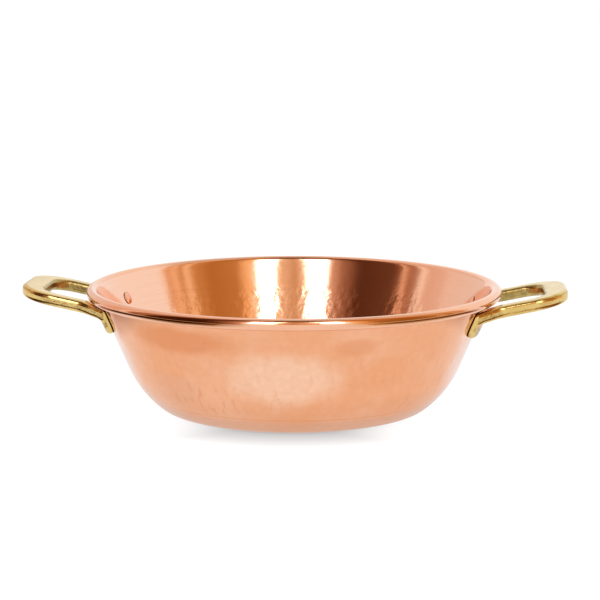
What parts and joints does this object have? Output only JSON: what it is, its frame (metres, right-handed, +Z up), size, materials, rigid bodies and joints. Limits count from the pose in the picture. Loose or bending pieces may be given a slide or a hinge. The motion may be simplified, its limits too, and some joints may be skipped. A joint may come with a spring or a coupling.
{
  "type": "jam pan",
  "caption": "Wide copper jam pan with sloping hammered wall, flat base, rolled rim and two riveted cast brass loop handles.",
  "frame": {"origin": "middle of the flat base, on the surface that the pan stands on", "axes": "+X along the line of the two handles, +Z up the pan's axis, +Y to the right-hand rule"},
  "size_m": [0.393, 0.3, 0.0895],
  "materials": {
    "copper": "polished copper, hammered below the rim",
    "brass": "polished cast brass"
  },
  "bodies": {
    "root": {"bowl": "copper", "handle_left": "brass", "handle_right": "brass", "rivet_left_far": "copper", "rivet_left_near": "copper", "rivet_right_far": "copper", "rivet_right_near": "copper"}
  },
  "joints": []
}
